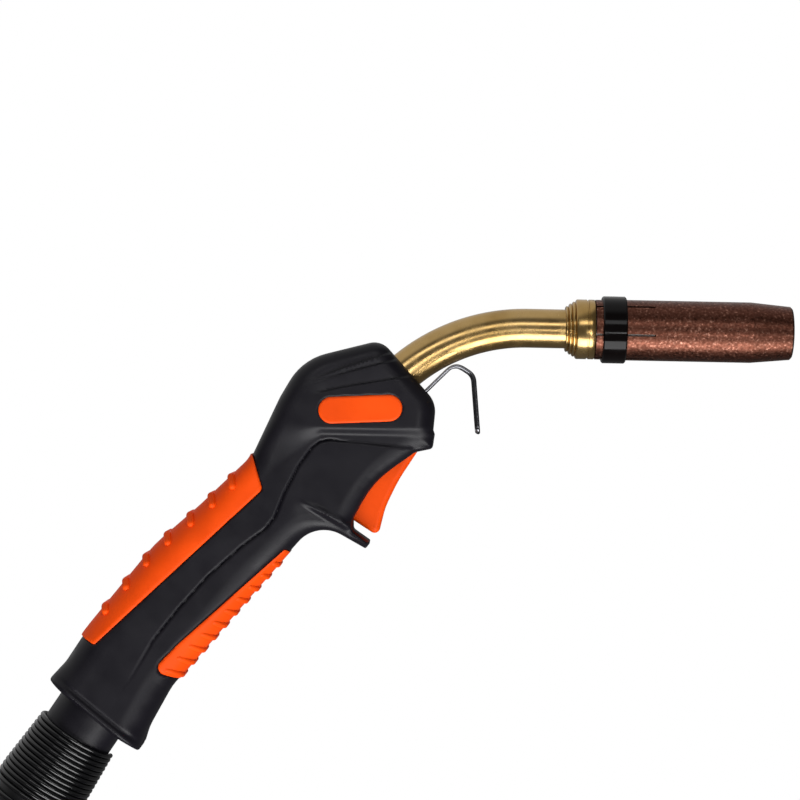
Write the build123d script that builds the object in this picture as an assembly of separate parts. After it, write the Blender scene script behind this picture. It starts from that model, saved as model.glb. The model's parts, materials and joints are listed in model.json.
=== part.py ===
from build123d import *
import math
import os

# A MIG welding torch lying on its right-hand side on a table. Millimetres.
# +X runs along the nozzle's axis to its mouth, +Y to the torch's upper side, +Z up from the table.
# The origin is under the middle of the torch, on the table.

# --- main sizes ---
MID_Z = 22.0  # height of the torch's plane of symmetry
HEAD_HALF = 22.0  # half the width of the head and of the rear flare
EDGE_R = 6.0  # rounding of the handle's long edges
INSERT_DEPTH = 1.5  # how far the soft inserts are let into the shells
CAVITY_INSET = 3.5  # outside of the handle to its hollow

NOZZLE_Y = 135.3  # the straight front end's axis
NOZZLE_REAR_X = 108.2
NOZZLE_MOUTH_X = 199.0
NOZZLE_R = 14.0
NOZZLE_BORE_R = 11.5
NOZZLE_SEAT_R = 13.8  # outside of the nozzle behind and under its clamp ring
MOUTH_R = 8.0
MOUTH_LENGTH = 15.0
SLOT_COUNT = 6
SLOT_LENGTH = 27.0
SLOT_WIDTH = 1.0
SLOT_TURN = 11.0  # degrees of the first slot from straight up
RING_X = 111.2
RING_WIDTH = 11.0
RING_R = 15.5

NECK_R = 9.0
NECK_BEND_R = 86.0
NECK_BEND = 40.0  # degrees between the nozzle and the straight tail in the handle
NECK_BEND_X = 77.0
NECK_FRONT_X = 98.0
NECK_TAIL = 45.0
LOCK_RING_START = 22.0  # distances down the neck's tail
LOCK_RING_END = 32.0
LOCK_RING_R = 12.0
INSULATION_R = 7.5
CORE_R = 6.0
CORE_BORE_R = 3.0
LINER_R = 2.3
LINER_BORE_R = 1.1

BALL = Vector(-110.0, -29.5, MID_Z)  # centre of the swivel in the rear of the handle
BALL_R = 16.0
BALL_GAP = 0.3
GUARD_ANGLE = 237.0  # heading of the cable guard, degrees from +X
GRIP_ANGLE = 51.45  # heading of the handle, rear to front
SLEEVE_R = 17.0
GUARD_START = 31.0  # distances from the swivel's centre along the guard
GUARD_END = 131.0
BOOT_START = 50.0
BOOT_END = 143.0
GUARD_INNER_R = 19.0
WIRE_D = 2.3  # the guard spring's wire

PIVOT = (25.0, 83.0)  # the trigger's hinge pin
PIVOT_R = 2.0
PIN_GAP = 0.05
PIN_HALF = 14.0
TRIGGER_HALF = 8.0
WINDOW_HALF = 8.6
HOOK_HALF = 14.0  # from the middle plane to each leg of the hook
HOOK_R = 1.0

BADGE_PLACE = (0.6, 96.4)
BADGE_TURN = 1.9
BADGE_LENGTH = 39.5
BADGE_WIDTH = 12.5
BADGE_DEPTH = 0.8

PLUNGER_SEAT = Vector(-5.0, 55.0, MID_Z)  # where the trigger's back meets the switch
PLUNGER_GAP = 0.3
PLUNGER_R = 2.0
PLUNGER_OUT = 5.0
PLUNGER_IN = 4.0
PLUNGER_TRAVEL = 4.4
SWITCH_SIZE = (18.0, 9.0, 10.0)  # across the plunger, along it, and through the handle
TERMINAL_LENGTH = 2.5
WIRE_R = 0.9

CABLE_D = 24.0
CABLE_R = CABLE_D / 2
CABLE_START = 118.0  # how far along the guard the cable starts, inside the boot
STRAND_R = 7.0
COIL_CENTRE = Vector(-70.0, -290.0, 0.0)
COIL_OUTER_TURN = 145.0
COIL_INNER_TURN = 120.0
TIE_THICKNESS = 1.0
TIE_WIDTH = 20.0
TIE_ANGLES = (25.0, 120.0, 230.0)
PLUG_R = 24.0
PLUG_X = 30.0  # where the cable enters the plug's boot
PLUG_Y = COIL_CENTRE.Y - COIL_OUTER_TURN
PLUG_NECK_R = 12.5
PLUG_FACE_X = 170.0
PLUG_PIN_R = 5.0
PLUG_PIN_END_X = 186.0
PLUG_PIN_ROOT_R = 4.5  # where the pin is in the body and under its o-ring
PLUG_PIN_ROOT_X = 171.8
PLUG_SCREW_X = (92.0, 122.0)
CONTACT_R = 2.0
CONTACT_RADIUS = 9.0  # from the plug's axis to each sprung contact

SCREW_PLACES = ((26, 97), (-33, 95), (-27, 44), (-60, 8), (-84, -20), (-108, -4))
BOSS_R = 4.0
SCREW_R = 1.5
SCREW_HEAD_R = 2.8
SCREW_SEAT_Z = 9.0
SCREW_TOP_Z = 36.0

CENTRED_LOW = (Align.CENTER, Align.CENTER, Align.MIN)


# --- helpers ---
def heading(degrees):
    angle = math.radians(degrees)
    return Vector(math.cos(angle), math.sin(angle), 0)


def rod(start, end, radius):
    start = Vector(start)
    run = Vector(end) - start
    place = Plane(origin=start, z_dir=run)
    return place * Cylinder(radius, run.length, align=CENTRED_LOW)


def post(place, radius, z_low, z_high):
    return rod((place[0], place[1], z_low), (place[0], place[1], z_high), radius)


def plate(sketch, z_low, z_high):
    return extrude(Pos(0, 0, z_low) * sketch, amount=z_high - z_low)


def rounded_outline(corners):
    points = [corner[:2] for corner in corners]
    radii = [corner[2] for corner in corners]
    return make_face(FilletPolyline(*points, radius=radii, close=True))


def turned(profile, place):
    """Revolve (along, radius) points about the place's Z axis."""
    points = [(radius, along) for along, radius in profile]
    face = Plane.XZ * make_face(Polyline(*points, close=True))
    return place * revolve(face, Axis.Z)


def on_nozzle_axis(profile):
    return turned(profile, Plane(origin=(0, NOZZLE_Y, MID_Z), x_dir=(0, 1, 0), z_dir=(1, 0, 0)))


def on_guard_axis(profile):
    return turned(profile, Plane(origin=BALL, x_dir=(0, 0, 1), z_dir=heading(GUARD_ANGLE)))


def guard_point(distance):
    return BALL + heading(GUARD_ANGLE) * distance


def neck_path(front_x, tail):
    """The neck's centre line: straight, one bend, then straight down into the handle."""
    start = Vector(front_x, NOZZLE_Y, MID_Z)
    bend_start = Vector(NECK_BEND_X, NOZZLE_Y, MID_Z)
    bend = JernArc(start=bend_start, tangent=(-1, 0, 0), radius=NECK_BEND_R, arc_size=NECK_BEND)
    end = neck_point(tail)
    return Line(start, bend_start) + bend + Line(bend @ 1, end)


def neck_point(tail):
    """A point on the neck's straight tail, by its distance from the end of the bend."""
    bend = math.radians(NECK_BEND)
    end_x = NECK_BEND_X - NECK_BEND_R * math.sin(bend)
    end_y = NOZZLE_Y - NECK_BEND_R * (1 - math.cos(bend))
    return Vector(end_x, end_y, MID_Z) - heading(NECK_BEND) * tail


def tube_along(path, outer_r, inner_r=0.0):
    place = Plane(origin=path @ 0, z_dir=path % 0)
    section = Circle(outer_r)
    if inner_r:
        section -= Circle(inner_r)
    return sweep(place * section, path=path)


def arc_radii(points):
    """As large an arc at each corner of a route as its two runs allow."""
    radii = []
    for before, here, after in zip(points, points[1:], points[2:]):
        run_in = Vector(here) - Vector(before)
        run_out = Vector(after) - Vector(here)
        half_turn = math.radians(run_in.get_angle(run_out)) / 2
        radii.append(0.45 * min(run_in.length, run_out.length) / math.tan(half_turn))
    return radii


def cord_tube(name, points, radius):
    radii = arc_radii(points)
    print(name, "radii", [round(value) for value in radii])
    path = FilletPolyline(*points, radius=radii)
    tube = tube_along(path, radius)
    share = tube.volume / (math.pi * radius**2 * path.length)
    print(name, "length", round(path.length), "volume over section times length", round(share, 4))
    return tube


# --- nozzle and what it covers ---
def gas_nozzle():
    taper_x = 180.0
    shell = on_nozzle_axis([
        (NOZZLE_REAR_X, NOZZLE_BORE_R), (NOZZLE_REAR_X, NOZZLE_SEAT_R), (RING_X + RING_WIDTH, NOZZLE_SEAT_R),
        (RING_X + RING_WIDTH, NOZZLE_R), (taper_x, NOZZLE_R),
        (NOZZLE_MOUTH_X - 0.8, 12.3), (NOZZLE_MOUTH_X, 11.5), (NOZZLE_MOUTH_X, MOUTH_R),
        (NOZZLE_MOUTH_X - MOUTH_LENGTH, MOUTH_R), (172.0, NOZZLE_BORE_R),
    ])
    slot = Pos(SLOT_LENGTH / 2, 0, NOZZLE_R) * Box(SLOT_LENGTH, SLOT_WIDTH, NOZZLE_R)
    for number in range(SLOT_COUNT):
        turn = SLOT_TURN + number * 360 / SLOT_COUNT
        shell -= Pos(NOZZLE_REAR_X, NOZZLE_Y, MID_Z) * Rot(turn, 0, 0) * slot
    return shell


def nozzle_clamp_ring():
    end_x = RING_X + RING_WIDTH
    return on_nozzle_axis([
        (RING_X, NOZZLE_SEAT_R), (RING_X, RING_R - 0.6), (RING_X + 0.6, RING_R), (end_x - 0.6, RING_R),
        (end_x, RING_R - 0.6), (end_x, NOZZLE_SEAT_R),
    ])


def neck_collar():
    return on_nozzle_axis([
        (94.3, NECK_R), (94.3, 10.5), (95.2, 10.5), (95.2, 11.5), (97.1, 11.5), (97.1, 12.5), (98.5, 12.5),
        (98.5, 13.8), (104.2, 13.8), (104.2, 13.3), (105.0, 13.3), (105.0, 13.8), (108.0, 13.8), (108.0, NECK_R),
    ])


def nozzle_insulator():
    return on_nozzle_axis([(108.0, 8.0), (108.0, 11.45), (135.5, 11.45), (136.5, 10.5), (136.5, 8.0)])


def gas_diffuser():
    body = on_nozzle_axis([
        (98.0, CORE_R), (98.0, 8.0), (150.0, 8.0), (150.0, 4.0), (138.0, 4.0),
        (138.0, CORE_BORE_R), (104.0, CORE_BORE_R), (104.0, CORE_R),
    ])
    shoulder = on_nozzle_axis([(100.0, 7.9), (100.0, NECK_R), (107.9, NECK_R), (107.9, 7.9)])
    gas_hole = Pos(0, 0, 6) * Cylinder(1.1, 8)
    for number in range(8):
        body -= Pos(143.0, NOZZLE_Y, MID_Z) * Rot(number * 45, 0, 0) * gas_hole
    return body + shoulder


def tip_holder():
    holder = on_nozzle_axis([
        (138.0, 1.5), (138.0, 4.0), (150.0, 4.0), (150.0, 6.5), (163.0, 6.5), (163.0, 3.0), (156.0, 3.0), (156.0, 1.5),
    ])
    hexagon = Plane(origin=(150.0, NOZZLE_Y, MID_Z), z_dir=(1, 0, 0)) * RegularPolygon(6.0, 6, major_radius=False)
    rear = on_nozzle_axis([(137.0, 0), (137.0, 4.0), (150.0, 4.0), (150.0, 0)])
    return holder & (extrude(hexagon, amount=14.0) + rear)


def contact_tip():
    return on_nozzle_axis([
        (156.0, 0.6), (156.0, 3.0), (163.0, 3.0), (163.0, 4.0), (188.0, 4.0), (194.0, 2.6), (194.0, 0.6),
    ])


# --- swan neck, from outside in ---
def swan_neck():
    return tube_along(neck_path(NECK_FRONT_X, NECK_TAIL), NECK_R, INSULATION_R)


def neck_insulation():
    return tube_along(neck_path(NECK_FRONT_X, NECK_TAIL), INSULATION_R, CORE_R)


def neck_core_tube():
    return tube_along(neck_path(104.0, NECK_TAIL + 8), CORE_R, CORE_BORE_R)


def wire_liner():
    return tube_along(neck_path(137.5, NECK_TAIL + 21), LINER_R, LINER_BORE_R)


def neck_lock_ring():
    ring = rod(neck_point(LOCK_RING_START), neck_point(LOCK_RING_END), LOCK_RING_R)
    return ring - rod(neck_point(LOCK_RING_START - 1), neck_point(LOCK_RING_END + 1), NECK_R)


def cable_connector():
    """Brass union between the neck's tail and the cable's inner tube."""
    start = neck_point(NECK_TAIL)
    place = Plane(origin=start, x_dir=(0, 0, 1), z_dir=heading(NECK_BEND) * -1)
    union = place * extrude(RegularPolygon(10.0, 6, major_radius=False), amount=8)
    union += rod(neck_point(NECK_TAIL + 7), neck_point(NECK_TAIL + 22), 8.5)
    union -= rod(neck_point(NECK_TAIL - 1), neck_point(NECK_TAIL + 8), CORE_R)
    return union - rod(neck_point(NECK_TAIL + 7), neck_point(NECK_TAIL + 23), LINER_R)


def inner_cable_points():
    start = neck_point(NECK_TAIL + 22)
    return [start, neck_point(NECK_TAIL + 38), guard_point(-52.5), guard_point(-17.5)]


def inner_cable():
    return cord_tube("inner cable", inner_cable_points(), STRAND_R)


def crimp_ferrule():
    sleeve = rod(neck_point(NECK_TAIL + 22), neck_point(NECK_TAIL + 32), 8.5)
    return sleeve - rod(neck_point(NECK_TAIL + 21), neck_point(NECK_TAIL + 33), STRAND_R)


# --- handle ---
# Stations of the grip from the rear rim to the head: distance from the swivel's centre along the
# grip, lower edge, upper edge, and half-width.
GRIP_STATIONS = (
    (-21.0, -29.5, 21.5, 22.0), (-8.0, -26.5, 23.0, 20.5), (16.0, -23.8, 25.0, 18.5), (50.0, -24.5, 25.5, 18.0),
    (85.0, -25.8, 20.0, 18.5), (114.0, -29.0, 17.0, 20.0),
)
GRIP_CORNER_R = 13.0
# Side outline of the head, anticlockwise: x, y and the corner's rounding.
HEAD_CORNERS = (
    (-31.0, 31.0, 8), (-19.0, 40.5, 8), (-0.5, 44.5, 6), (6.5, 62.5, 45), (23.0, 77.3, 8), (34.3, 77.3, 6),
    (35.2, 97.5, 10), (13.5, 124.0, 7), (6.5, 127.3, 6), (-24.0, 119.5, 12), (-40.0, 101.0, 20), (-50.0, 68.0, 8),
    (-50.0, 50.0, 8),
)
# The top insert's inner edge and the lower pad's, both closed well outside the handle.
TOP_INSERT_CORNERS = (
    (-120.8, -15.3, 1.2), (-44.2, 58.3, 3), (-48.6, 75.6, 1), (-80.0, 105.0, 1), (-160.0, 20.0, 1),
    (-140.0, -4.9, 1),
)
LOWER_PAD_CORNERS = (
    (-31.5, 32.4, 1), (-82.7, -15.0, 30), (-93.2, -26.0, 2.5), (-78.0, -33.2, 1), (-60.0, -40.0, 1), (-10.0, 20.0, 1),
)
LEDGE_CORNERS = (
    (-24.0, 45.5, 1), (-1.7, 44.6, 0.5), (2.2, 39.3, 2), (6.6, 36.0, 0.6), (4.2, 32.8, 0.6), (-16.0, 40.5, 1),
)
LEDGE_HALF = 14.0


def grip_section(along, low, high, half, inset):
    """A rounded section of the grip, square to its line."""
    line = heading(GRIP_ANGLE)
    up = Vector(0, 0, 1).cross(line)
    centre = BALL + line * along + up * ((low + high) / 2)
    place = Plane(origin=centre, x_dir=up, z_dir=line)
    return place * RectangleRounded(high - low - 2 * inset, 2 * (half - inset), GRIP_CORNER_R - inset)


def handle_body(inset):
    """The whole outside of the handle, or a copy of it set in all round."""
    grip = loft([grip_section(*station, inset) for station in GRIP_STATIONS])
    outline = rounded_outline(HEAD_CORNERS)
    if inset:
        outline = offset(outline, -inset)
    half = HEAD_HALF - inset
    head = plate(outline, MID_Z - half, MID_Z + half)
    head = fillet(head.edges().group_by(Axis.Z)[-1] + head.edges().group_by(Axis.Z)[0], EDGE_R - inset * 0.6)
    return grip + head


def grip_edge(along, upper):
    """A point on the grip's upper or lower outline at a distance along it."""
    line = heading(GRIP_ANGLE)
    up = Vector(0, 0, 1).cross(line)
    for start, end in zip(GRIP_STATIONS, GRIP_STATIONS[1:]):
        if start[0] <= along <= end[0]:
            share = (along - start[0]) / (end[0] - start[0])
            edge = 2 if upper else 1
            offset_up = start[edge] + (end[edge] - start[edge]) * share
            return BALL + line * along + up * offset_up
    raise ValueError("outside the grip")


def soft_insert(outer, inner, corners, bump_places, bump_r, upper):
    """A soft skin let into the shells, with a row of rounded bumps along its edge."""
    skin = (outer - inner) & plate(rounded_outline(corners), -5, 2 * MID_Z + 5)
    for along in bump_places:
        place = grip_edge(along, upper)
        skin += post((place.X, place.Y), bump_r, MID_Z - 11, MID_Z + 11) - inner
    for place in SCREW_PLACES:
        skin -= post(place, SCREW_HEAD_R + 0.4, -1, SCREW_SEAT_Z)
    return skin


def top_grip_insert(outer, inner):
    places = [15 + 14.2 * number for number in range(7)]
    return soft_insert(outer, inner, TOP_INSERT_CORNERS, places, 1.9, True)


def lower_grip_insert(outer, inner):
    places = [18 + 7.4 * number for number in range(11)]
    return soft_insert(outer, inner, LOWER_PAD_CORNERS, places, 1.6, False)


def badge_sketch():
    return Pos(*BADGE_PLACE) * Rot(0, 0, BADGE_TURN) * SlotOverall(BADGE_LENGTH, BADGE_WIDTH)


def badge_right():
    return plate(badge_sketch(), 0, BADGE_DEPTH)


def badge_left():
    return plate(badge_sketch(), 2 * MID_Z - BADGE_DEPTH, 2 * MID_Z)


def trigger_window():
    """The gap in the shells that the trigger swings through."""
    corners = [(-9, 50), (-1.6, 45), (12, 35), (36, 70), (28.6, 75), (28.6, 90), (15, 90), (-12, 64)]
    return plate(make_face(Polyline(*corners, close=True)), MID_Z - WINDOW_HALF, MID_Z + WINDOW_HALF)


def hanging_hook():
    """A wire bail: two legs out of the head's front, over and down to a crossbar."""
    near = [(27.0, 101.7), (43.5, 118.4), (52.3, 113.0), (54.8, 86.7)]
    points = [(x, y, MID_Z + HOOK_HALF) for x, y in near]
    points += [(x, y, MID_Z - HOOK_HALF) for x, y in reversed(near)]
    return tube_along(FilletPolyline(*points, radius=[6, 6, 3, 3, 6, 6]), HOOK_R)


def switch_place():
    """Frame on the trigger's back at rest, Z along the plunger's push."""
    arm = PLUNGER_SEAT - Vector(*PIVOT, MID_Z)
    push = Vector(arm.Y, -arm.X, 0).normalized()
    return Plane(origin=PLUNGER_SEAT, x_dir=(0, 0, 1), z_dir=push)


def switch_body():
    height, length, width = SWITCH_SIZE[2], SWITCH_SIZE[1], SWITCH_SIZE[0]
    start = PLUNGER_GAP + PLUNGER_OUT
    block = Pos(0, 0, start) * Box(height, width, length, align=CENTRED_LOW)
    block = chamfer(block.edges().filter_by(Axis.Z), 0.6)
    depth = PLUNGER_IN + PLUNGER_TRAVEL + 0.4
    block -= Pos(0, 0, start - 1) * Cylinder(PLUNGER_R + PIN_GAP, depth + 1, align=CENTRED_LOW)
    return switch_place() * block


def switch_plunger():
    length = PLUNGER_OUT + PLUNGER_IN
    pin = Pos(0, 0, PLUNGER_GAP) * Cylinder(PLUNGER_R, length, align=CENTRED_LOW)
    return switch_place() * fillet(pin.edges().group_by(Axis.Z)[0], 0.8)


def switch_terminals():
    start = PLUNGER_GAP + PLUNGER_OUT + SWITCH_SIZE[1]
    size = (5, 1, TERMINAL_LENGTH)
    blades = [Pos(0, side * 5, start) * Box(*size, align=CENTRED_LOW) for side in (-1, 1)]
    return [switch_place() * blade for blade in blades]


def control_wires():
    wires = []
    for side in (-1, 1):
        back = PLUNGER_GAP + PLUNGER_OUT + SWITCH_SIZE[1] + TERMINAL_LENGTH
        start = switch_place().from_local_coords(Vector(0, side * 5, back))
        z = MID_Z + side * 3
        points = [start, Vector(-33.0 + side * 2, 51.0 - side, z), Vector(-56.0, 31.0, z), Vector(-68.0, 28.0, z)]
        wires.append(tube_along(FilletPolyline(*points, radius=[8, 8]), WIRE_R))
    return wires


def shell_insides():
    """Bosses, saddles and seats that stand in the hollow of the handle."""
    far = 2 * MID_Z
    bits = [post(place, BOSS_R, 0, far) for place in SCREW_PLACES]
    bits.append(rod(neck_point(LOCK_RING_START - 4), neck_point(LOCK_RING_END + 4), 19.0))
    bits.append(rod(guard_point(-10), guard_point(4), 20.0))
    bits.append(post(PIVOT, 5.0, 0, MID_Z - WINDOW_HALF))
    bits.append(post(PIVOT, 5.0, MID_Z + WINDOW_HALF, far))
    for side in (-1, 1):
        z = MID_Z + side * HOOK_HALF
        bits.append(rod((24.5, 99.2, z), (34.0, 108.7, z), 4.1))
    middle = switch_place().from_local_coords(Vector(0, 0, PLUNGER_GAP + PLUNGER_OUT + SWITCH_SIZE[1] / 2))
    bits.append(post((middle.X, middle.Y), 3.5, 0, MID_Z - SWITCH_SIZE[2] / 2))
    bits.append(post((middle.X, middle.Y), 3.5, MID_Z + SWITCH_SIZE[2] / 2, far))
    return bits


def handle_shells(outer, recess, hollow):
    """The two moulded halves: bottom of the list lies on the table."""
    body = outer - hollow
    for bit in shell_insides():
        body += bit & outer
    ledge = plate(rounded_outline(LEDGE_CORNERS), MID_Z - LEDGE_HALF, MID_Z + LEDGE_HALF)
    body += ledge - hollow
    for corners in (TOP_INSERT_CORNERS, LOWER_PAD_CORNERS):
        body -= plate(rounded_outline(corners), -5, 2 * MID_Z + 5) - recess
    body -= trigger_window()
    body -= plate(badge_sketch(), -1, BADGE_DEPTH)
    body -= plate(badge_sketch(), 2 * MID_Z - BADGE_DEPTH, 2 * MID_Z + 1)
    body -= rod(neck_point(NECK_TAIL + 1), neck_point(-30), NECK_R)
    body -= rod(neck_point(LOCK_RING_START), neck_point(LOCK_RING_END), LOCK_RING_R)
    body -= Pos(BALL) * Sphere(BALL_R + BALL_GAP)
    body -= post(PIVOT, PIVOT_R, MID_Z - PIN_HALF, MID_Z + PIN_HALF)
    for side in (-1, 1):
        z = MID_Z + side * HOOK_HALF
        body -= rod((27.0, 101.7, z), (39.0, 113.84, z), HOOK_R)
    for place in SCREW_PLACES:
        body -= post(place, SCREW_R, SCREW_SEAT_Z, SCREW_TOP_Z)
        body -= post(place, SCREW_HEAD_R + 0.4, -1, SCREW_SEAT_Z)
    room = Box(600, 600, MID_Z + 5, align=CENTRED_LOW)
    upper_half = body & (Pos(0, 0, MID_Z) * room)
    lower_half = body & (Pos(0, 0, -5) * room)
    return lower_half, upper_half


def handle_screws():
    screws = []
    for place in SCREW_PLACES:
        head = post(place, SCREW_HEAD_R, SCREW_SEAT_Z - 2.2, SCREW_SEAT_Z)
        socket = post(place, 1.2, SCREW_SEAT_Z - 2.3, SCREW_SEAT_Z - 1.0)
        screws.append(head + post(place, SCREW_R, SCREW_SEAT_Z, SCREW_TOP_Z - 0.5) - socket)
    return screws


# --- trigger ---
TRIGGER_CORNERS = (
    (7.3, 39.2, 2), (10.7, 41.2, 1), (12.6, 50.0, 20), (18.5, 64.0, 30), (27.0, 77.0, 1), (29.5, 85.0, 3),
    (25.0, 89.5, 3), (18.5, 86.0, 3), (14.0, 72.7, 4), (-8.5, 51.7, 1), (-1.2, 46.2, 1),
)


def trigger():
    lever = plate(rounded_outline(TRIGGER_CORNERS), MID_Z - TRIGGER_HALF, MID_Z + TRIGGER_HALF)
    lever -= post(PIVOT, PIVOT_R + PIN_GAP, 0, 2 * MID_Z)
    well_z = MID_Z + 2
    lever -= post(PIVOT, 3.9, well_z, 2 * MID_Z)
    notch = Pos(PIVOT[0], PIVOT[1] + 6, well_z) * Box(5, 12, 12, align=CENTRED_LOW)
    return lever - notch


def trigger_pin():
    return post(PIVOT, PIVOT_R, MID_Z - PIN_HALF, MID_Z + PIN_HALF)


def trigger_spring():
    low, high = MID_Z + 2.6, MID_Z + 7.4
    coil = post(PIVOT, 3.4, low, high) - post(PIVOT, 2.4, low - 1, high + 1)
    leg_z = high - 1.5
    leg = rod((PIVOT[0] - 1.0, PIVOT[1] + 2.7, leg_z), (PIVOT[0] - 0.5, PIVOT[1] + 8.5, leg_z), 0.5)
    return coil + leg


# --- swivel, guard and cable ---
def swivel_sleeve():
    """Ball in the handle's rear, opening to the sleeve that the guard spring is pushed on."""
    ball = Pos(BALL) * Sphere(BALL_R)
    sleeve = on_guard_axis([
        (0, 0), (0, 12.0), (8.0, 13.8), (14.0, SLEEVE_R), (GUARD_START, SLEEVE_R), (BOOT_START, 18.3), (BOOT_START, 0),
    ])
    return ball + sleeve - rod(guard_point(-20), guard_point(BOOT_START + 5), STRAND_R)


def guard_spring():
    """Plain sleeve of the spring's size; its wire is wound closely over the first third."""
    return on_guard_axis([
        (GUARD_START, SLEEVE_R), (GUARD_START, SLEEVE_R + WIRE_D), (60.0, GUARD_INNER_R + WIRE_D),
        (GUARD_END, GUARD_INNER_R + WIRE_D), (GUARD_END, GUARD_INNER_R), (60.0, GUARD_INNER_R),
        (BOOT_START, 18.3),
    ])


def cable_boot():
    return on_guard_axis([
        (BOOT_START, STRAND_R), (BOOT_START, 18.3), (60.0, GUARD_INNER_R), (GUARD_END - 8, GUARD_INNER_R),
        (BOOT_END, 14.5), (BOOT_END, CABLE_R), (CABLE_START, CABLE_R), (CABLE_START, STRAND_R),
    ])


def cable_strand():
    return rod(guard_point(-15.0), guard_point(CABLE_START), STRAND_R)


# The cable's route from the guard to its coil, and from the coil to the plug.
LEAD_POINTS = (
    (-174.3, -128.5, 22.0), (-192.8, -157.0, 21.5), (-205.0, -187.0, 17.0), (-212.0, -220.0, 12.5),
    (-215.3, -254.0, 12.0), (-215.0, -288.0, 12.0), (-211.5, -318.0, 12.0),
)
TAIL_POINTS = (
    (-100.0, -431.8, 36.0), (-70.0, -435.0, 36.2), (-38.0, -435.4, 36.6), (-10.0, -435.0, 35.0),
    (12.0, -435.0, 27.0), (30.0, -435.0, 24.0), (48.0, -435.0, 24.0),
)


def cable_lead():
    return cord_tube("cable lead", LEAD_POINTS, CABLE_R)


def cable_tail():
    return cord_tube("cable tail", TAIL_POINTS, CABLE_R)


def coil_ring(inset):
    """The coil's outer shape: two turns side by side, two high."""
    inner = COIL_INNER_TURN - CABLE_R + inset
    outer = COIL_OUTER_TURN + CABLE_R - inset
    top = 2 * CABLE_D
    face = Pos((inner + outer) / 2, top / 2) * RectangleRounded(outer - inner, top - 2 * inset, 10 - inset)
    return Pos(COIL_CENTRE) * revolve(Plane.XZ * face, Axis.Z)


def coil_ties():
    """Cloth bands round the coil, each a closed loop let into its outside."""
    ties = []
    for angle in TIE_ANGLES:
        place = Pos(COIL_CENTRE) * Rot(0, 0, angle)
        slab = place * Pos(COIL_OUTER_TURN, 0, CABLE_D) * Box(90, TIE_WIDTH, 90)
        ties.append((coil_ring(0) - coil_ring(TIE_THICKNESS)) & slab)
    return ties


def cable_coil(ties):
    coil = coil_ring(0)
    for tie in ties:
        coil -= tie
    return coil


# --- plug on the cable's far end ---
def on_plug_axis(profile):
    return turned(profile, Plane(origin=(0, PLUG_Y, PLUG_R), x_dir=(0, 1, 0), z_dir=(1, 0, 0)))


def plug_boot():
    return on_plug_axis([
        (PLUG_X, CABLE_R), (PLUG_X, 14.5), (72.0, 17.5), (72.0, 20.0), (78.0, 20.0), (78.0, 0), (48.0, 0),
        (48.0, CABLE_R),
    ])


def plug_housing():
    housing = on_plug_axis([
        (78.0, 16.0), (78.0, 21.0), (84.0, 22.5), (100.0, PLUG_R), (132.0, PLUG_R), (132.0, 16.0),
    ])
    groove = Pos(0, PLUG_Y + PLUG_R, PLUG_R) * Box(24.0, 2.0, 3.0)
    for number in range(12):
        turned_groove = Pos(116.0, PLUG_Y, PLUG_R) * Rot(number * 30 + 15, 0, 0) * Pos(-116.0, -PLUG_Y, -PLUG_R)
        housing -= turned_groove * Pos(116.0, 0, 0) * groove
    for x in PLUG_SCREW_X:
        housing -= rod((x, PLUG_Y, PLUG_R), (x, PLUG_Y, PLUG_R + 30), SCREW_R)
        housing -= rod((x, PLUG_Y, 2 * PLUG_R - 4), (x, PLUG_Y, 2 * PLUG_R + 5), SCREW_HEAD_R + 0.4)
    return housing


def plug_body():
    """Brass core with the flange that the nut pulls on."""
    body = on_plug_axis([
        (78.0, 0), (78.0, 16.0), (132.0, 16.0), (132.0, PLUG_NECK_R), (137.0, PLUG_NECK_R), (137.0, 17.0),
        (141.0, 17.0), (141.0, PLUG_NECK_R), (PLUG_FACE_X, PLUG_NECK_R), (PLUG_FACE_X, 0),
    ])
    root = [(158.0, 0), (158.0, PLUG_PIN_ROOT_R), (PLUG_FACE_X + 1, PLUG_PIN_ROOT_R), (PLUG_FACE_X + 1, 0)]
    body -= on_plug_axis(root)
    for x in PLUG_SCREW_X:
        body -= rod((x, PLUG_Y, PLUG_R + 8), (x, PLUG_Y, 2 * PLUG_R), SCREW_R)
    for side in (-1, 1):
        z = PLUG_R + side * CONTACT_RADIUS
        body -= rod((154.0, PLUG_Y, z), (PLUG_FACE_X + 1, PLUG_Y, z), CONTACT_R + PIN_GAP)
    return body


def plug_nut():
    nut = on_plug_axis([
        (132.4, PLUG_NECK_R + PIN_GAP), (132.4, 22.0), (134.0, 23.5), (164.0, 23.5), (164.0, 19.0),
        (136.6, 19.0), (136.6, PLUG_NECK_R + PIN_GAP),
    ])
    for number in range(10):
        nut -= Pos(150.0, PLUG_Y, PLUG_R) * Rot(number * 36, 0, 0) * Pos(0, 0, 26.0) * Rot(0, 90, 0) * Cylinder(4, 24)
    return nut


def plug_pin():
    return on_plug_axis([
        (158.0, 2.5), (158.0, PLUG_PIN_ROOT_R), (PLUG_PIN_ROOT_X, PLUG_PIN_ROOT_R), (PLUG_PIN_ROOT_X, PLUG_PIN_R),
        (PLUG_PIN_END_X - 1, PLUG_PIN_R), (PLUG_PIN_END_X, 4.0), (PLUG_PIN_END_X, 2.5),
    ])


def plug_liner_nut():
    return on_plug_axis([(176.0, 1.2), (176.0, 2.5), (PLUG_PIN_END_X, 2.5), (PLUG_PIN_END_X, 1.2)])


def plug_o_ring():
    return on_plug_axis([
        (PLUG_FACE_X, PLUG_PIN_ROOT_R), (PLUG_FACE_X, 6.4), (PLUG_PIN_ROOT_X, 6.4), (PLUG_PIN_ROOT_X, PLUG_PIN_ROOT_R),
    ])


def plug_contacts():
    contacts = []
    for side in (-1, 1):
        z = PLUG_R + side * CONTACT_RADIUS
        contacts.append(rod((158.0, PLUG_Y, z), (177.0, PLUG_Y, z), CONTACT_R))
    return contacts


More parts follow.
